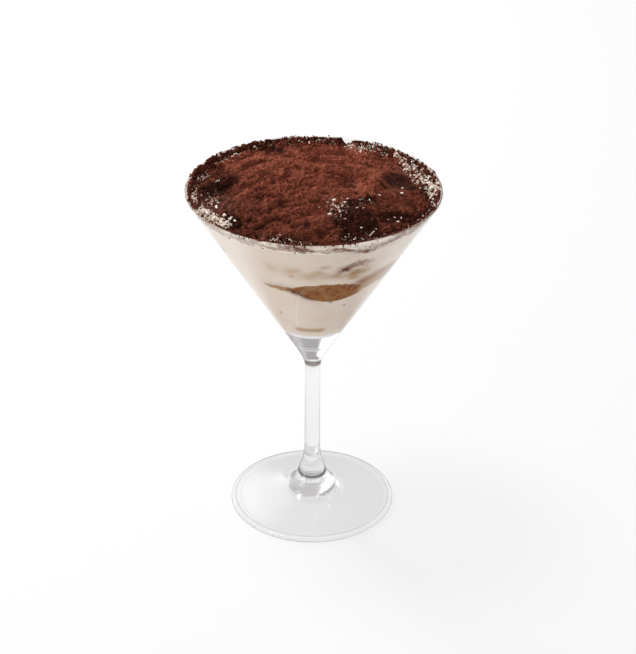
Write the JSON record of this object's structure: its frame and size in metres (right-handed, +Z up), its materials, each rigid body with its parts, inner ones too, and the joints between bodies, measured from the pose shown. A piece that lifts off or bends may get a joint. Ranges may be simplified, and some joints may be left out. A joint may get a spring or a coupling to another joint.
{
  "type": "tiramisu in a stemmed cocktail glass",
  "caption": "Layered tiramisu of sponge fingers and pale cream under a mound of cocoa, filling a V-shaped stemmed glass to the rim.",
  "frame": {"origin": "centre of the glass foot, at the plane it stands on", "axes": "+Z up along the stem, -Y towards the front, where the lower sponge finger shows at the wall"},
  "size_m": [0.116, 0.116, 0.1698],
  "materials": {
    "glass": "clear polished soda-lime glass",
    "cream": "soft pale mascarpone cream, slightly translucent",
    "soaked_biscuit": "moist coffee-soaked sponge biscuit",
    "cocoa": "dry reddish-brown cocoa powder with dark damp patches"
  },
  "bodies": {
    "root": {"glass": "glass", "biscuit_base": "soaked_biscuit", "cream_lower": "cream", "biscuit_lower": "soaked_biscuit", "cream_middle": "cream", "biscuit_upper": "soaked_biscuit", "cream_upper": "cream", "cocoa": "cocoa"}
  },
  "joints": []
}
